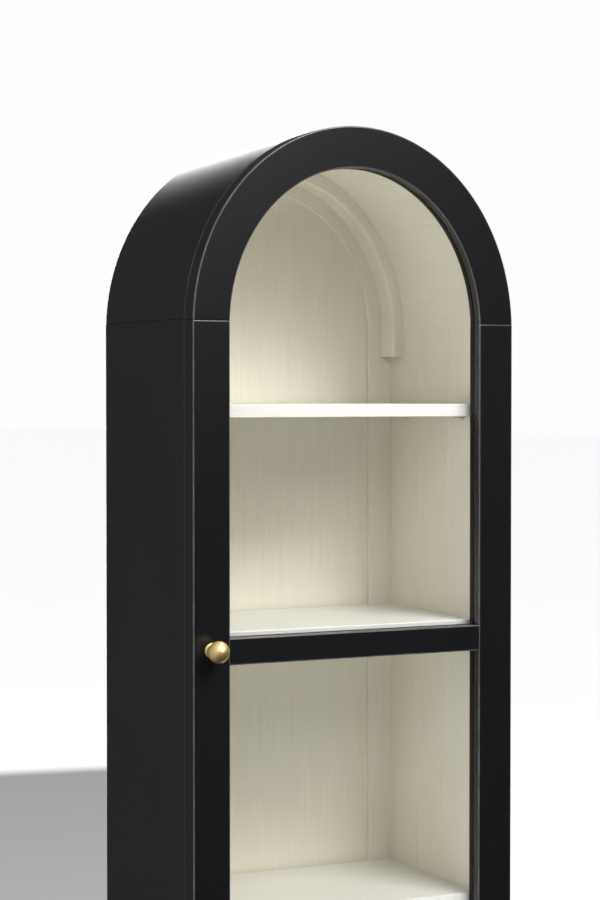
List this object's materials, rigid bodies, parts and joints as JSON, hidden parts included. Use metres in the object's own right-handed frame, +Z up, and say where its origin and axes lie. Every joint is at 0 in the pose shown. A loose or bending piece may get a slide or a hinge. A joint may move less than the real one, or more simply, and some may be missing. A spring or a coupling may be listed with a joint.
{
  "type": "tower display case",
  "caption": "Tall arch-topped display case, satin black outside and cream inside, with an arched glazed door, brass knob and shelves.",
  "frame": {"origin": "on the floor, at the centre of the overall box (depth measured over the knob)", "axes": "+Z up, -Y towards the front (the door), +X to the right seen from the front"},
  "size_m": [0.5085, 0.358, 1.8],
  "materials": {
    "case_black": "satin near-black lacquer",
    "interior_cream": "satin cream paint",
    "shelf_cream": "satin off-white paint",
    "bare_wood": "unfinished",
    "glass": "clear, polished",
    "brass": "satin",
    "steel": "zinc plated",
    "catch_plastic": "moulded",
    "magnet": "plain",
    "rubber": "matt",
    "glide_plastic": "moulded"
  },
  "bodies": {
    "case": {"side_panel_left": "case_black", "side_panel_right": "case_black", "arch_shell": "case_black", "plinth_front": "case_black", "plinth_back": "case_black", "lining_panel_left": "interior_cream", "lining_panel_right": "interior_cream", "arch_lining": "interior_cream", "arch_rib": "interior_cream", "back_frame_stile_left": "interior_cream", "back_frame_stile_right": "interior_cream", "back_frame_arch": "interior_cream", "back_frame_bottom_rail": "interior_cream", "back_panel": "interior_cream", "floor_board": "interior_cream", "shelf_upper": "shelf_cream", "shelf_middle": "shelf_cream", "shelf_lower": "shelf_cream", "shelf_bottom": "shelf_cream", "corner_blocks": "bare_wood", "arch_joint_dowels": "bare_wood", "floor_dowels": "bare_wood", "shelf_dowels": "bare_wood", "foot_glides": "glide_plastic", "glide_screws": "steel", "back_panel_pins": "steel", "shelf_pins": "steel", "tether_plate": "steel", "tether_screws": "steel", "hinge_case_leaves": "brass", "hinge_pins": "brass", "hinge_case_screws": "brass", "catch_body": "catch_plastic", "catch_magnet": "magnet", "catch_screws": "steel", "door_bumpers": "rubber"},
    "door": {"door_dowels": "bare_wood", "hinge_door_leaves": "brass", "hinge_door_screws": "brass", "strike_plate": "steel", "strike_screw": "steel", "door_stile_left": "case_black", "door_stile_right": "case_black", "door_arch_rail": "case_black", "door_mid_rail": "case_black", "door_bottom_rail": "case_black", "bead_upper_arch": "case_black", "bead_upper_left": "case_black", "bead_upper_right": "case_black", "bead_upper_bottom": "case_black", "bead_lower_left": "case_black", "bead_lower_right": "case_black", "bead_lower_top": "case_black", "bead_lower_bottom": "case_black", "glass_upper": "glass", "glass_lower": "glass", "knob": "brass", "knob_rosette": "brass", "knob_screw": "steel"}
  },
  "joints": [
    {"name": "door_swing", "type": "hinge", "parent": "case", "child": "door", "pos_m": [0.2545, -0.112, 0.8], "axis": [0, 0, 1], "range_deg": [0, 180]}
  ]
}
